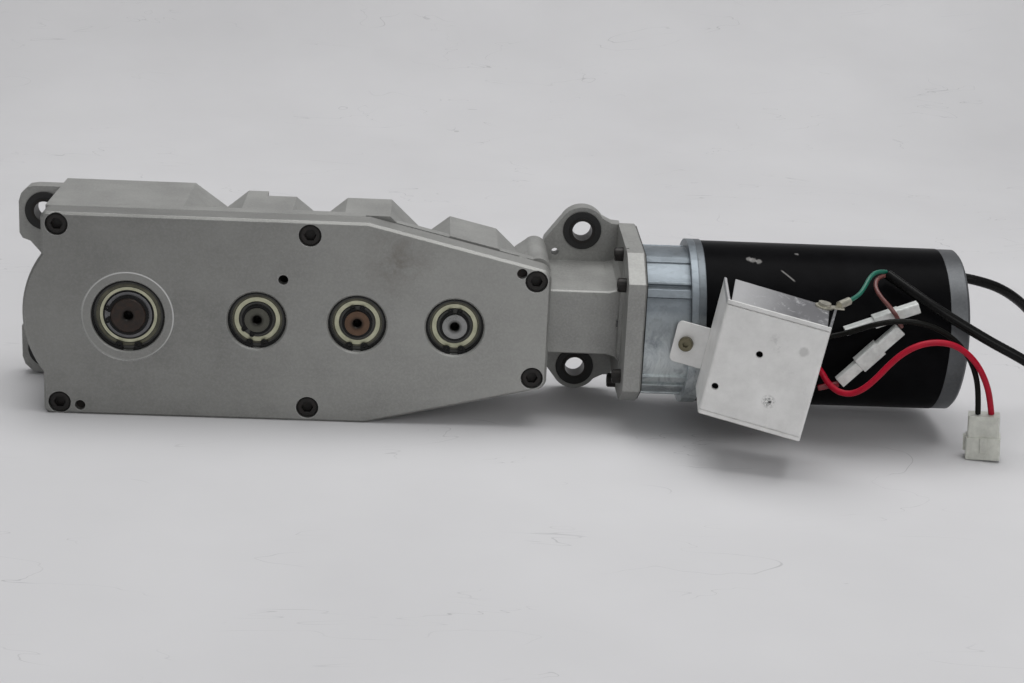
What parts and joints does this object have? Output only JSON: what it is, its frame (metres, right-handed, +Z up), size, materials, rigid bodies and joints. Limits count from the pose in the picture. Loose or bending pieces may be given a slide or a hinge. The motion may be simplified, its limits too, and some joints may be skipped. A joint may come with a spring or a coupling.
{
  "type": "in-line gear motor",
  "caption": "Long flat gearbox with rear output spindle, side-mounted planetary reducer and round motor, sheet metal terminal box and loose leads.",
  "frame": {"origin": "centre of the object's base, below the box of everything but its loose cables", "axes": "+X from the output shaft towards the motor, -Y is the front cover's side, +Y is the output spindle's side, +Z up"},
  "size_m": [0.5536, 0.1636, 0.1],
  "materials": {
    "cast_cover": "fine machined satin",
    "cast_housing": "sand-blasted die casting",
    "gasket_paper": "thin pressed gasket",
    "zinc_screws": "zinc plated",
    "black_steel": "black oxide",
    "dowel_steel": "oiled",
    "bearing_steel": "ground",
    "shield_steel": "pressed shield",
    "spring_steel": "black phosphate",
    "seal_rubber": "matte",
    "grommet_rubber": "matte",
    "gear_steel": "hobbed",
    "shaft_steel": "turned",
    "zinc_casting": "zinc die casting",
    "can_black": "semi-gloss black",
    "magnet_ferrite": "ferrite",
    "winding_copper": "varnished copper",
    "commutator_copper": "turned copper",
    "lamination_steel": "stacked sheets",
    "holder_plastic": "moulded",
    "brush_carbon": "pressed carbon",
    "gland_plastic": "moulded nylon",
    "box_sheet": "matt sheet",
    "terminal_tin": "tinned",
    "nylon_natural": "milky nylon",
    "connector_white": "moulded nylon",
    "jacket_black": "smooth jacket",
    "wire_green": "insulation",
    "wire_brown": "insulation",
    "wire_black": "insulation",
    "wire_red": "insulation"
  },
  "bodies": {
    "housing": {"front_cover": "cast_cover", "cover_gasket": "gasket_paper", "cover_screws": "black_steel", "cover_dowels": "dowel_steel", "gearbox_housing": "cast_housing", "flange_gasket": "gasket_paper", "flange_screws": "black_steel", "mount_grommets": "grommet_rubber", "grommet_sleeves": "black_steel", "bore_circlips": "spring_steel", "bearing_outer_races": "bearing_steel", "bearing_shields": "shield_steel", "rear_bearings": "bearing_steel", "output_seal": "seal_rubber", "input_bearings": "bearing_steel", "reducer_housing": "zinc_casting", "motor_adapter": "zinc_casting", "ring_gear": "gear_steel", "motor_can": "can_black", "motor_end_cap": "zinc_casting", "motor_screws": "zinc_screws", "motor_bearings": "bearing_steel", "motor_magnets": "magnet_ferrite", "brush_holder": "holder_plastic", "carbon_brushes": "brush_carbon", "cable_gland": "gland_plastic", "terminal_box": "box_sheet", "ring_terminal": "terminal_tin", "quick_connects": "nylon_natural", "two_pin_connector": "connector_white", "jacketed_cable": "jacket_black", "green_wire": "wire_green", "brown_wire": "wire_brown", "black_lead": "wire_black", "red_lead": "wire_red"},
    "input": {"input_shaft": "shaft_steel", "planet_carrier": "gear_steel"},
    "planet_1": {"planet_gear_1": "gear_steel"},
    "planet_2": {"planet_gear_2": "gear_steel"},
    "planet_3": {"planet_gear_3": "gear_steel"},
    "rotor": {"rotor_shaft": "shaft_steel", "rotor_stack": "lamination_steel", "rotor_windings": "winding_copper", "commutator": "commutator_copper"},
    "output": {"output_shaft": "shaft_steel", "output_gear": "gear_steel", "output_inner_race": "bearing_steel", "output_circlip": "spring_steel"},
    "second": {"second_shaft": "shaft_steel", "second_gear": "gear_steel", "second_inner_race": "bearing_steel", "second_circlip": "spring_steel"},
    "third": {"third_shaft": "shaft_steel", "third_gear": "gear_steel", "third_inner_race": "bearing_steel", "third_circlip": "spring_steel"},
    "bevel": {"bevel_shaft": "shaft_steel", "bevel_gear": "gear_steel", "bevel_inner_race": "bearing_steel", "bevel_circlip": "spring_steel"}
  },
  "joints": [
    {"name": "rotor_spin", "type": "hinge", "parent": "housing", "child": "rotor", "pos_m": [0.15755, 0.0109, 0.05], "axis": [1, 0, 0], "continuous": true},
    {"name": "input_spin", "type": "hinge", "parent": "housing", "child": "input", "pos_m": [0.04255, 0.0109, 0.05], "axis": [1, 0, 0], "continuous": true},
    {"name": "planet_1_spin", "type": "hinge", "parent": "input", "child": "planet_1", "pos_m": [0.08655, 0.0109, 0.068], "axis": [1, 0, 0], "continuous": true},
    {"name": "planet_2_spin", "type": "hinge", "parent": "input", "child": "planet_2", "pos_m": [0.08655, -0.00469, 0.041], "axis": [1, 0, 0], "continuous": true},
    {"name": "planet_3_spin", "type": "hinge", "parent": "input", "child": "planet_3", "pos_m": [0.08655, 0.02649, 0.041], "axis": [1, 0, 0], "continuous": true},
    {"name": "bevel_spin", "type": "hinge", "parent": "housing", "child": "bevel", "pos_m": [-0.01595, 0.0186, 0.05], "axis": [0, 1, 0], "continuous": true},
    {"name": "third_spin", "type": "hinge", "parent": "housing", "child": "third", "pos_m": [-0.06295, 0.0186, 0.05], "axis": [0, 1, 0], "continuous": true},
    {"name": "second_spin", "type": "hinge", "parent": "housing", "child": "second", "pos_m": [-0.11095, 0.0186, 0.05], "axis": [0, 1, 0], "continuous": true},
    {"name": "output_spin", "type": "hinge", "parent": "housing", "child": "output", "pos_m": [-0.17245, 0.0186, 0.05], "axis": [0, 1, 0], "continuous": true}
  ],
  "couplings": [
    {"joint": "input_spin", "follows": "rotor_spin", "ratio": 0.25},
    {"joint": "planet_1_spin", "follows": "rotor_spin", "ratio": -0.75},
    {"joint": "planet_2_spin", "follows": "rotor_spin", "ratio": -0.75},
    {"joint": "planet_3_spin", "follows": "rotor_spin", "ratio": -0.75},
    {"joint": "bevel_spin", "follows": "rotor_spin", "ratio": -0.125},
    {"joint": "third_spin", "follows": "rotor_spin", "ratio": 0.038194},
    {"joint": "second_spin", "follows": "rotor_spin", "ratio": -0.012731},
    {"joint": "output_spin", "follows": "rotor_spin", "ratio": 0.00625}
  ]
}
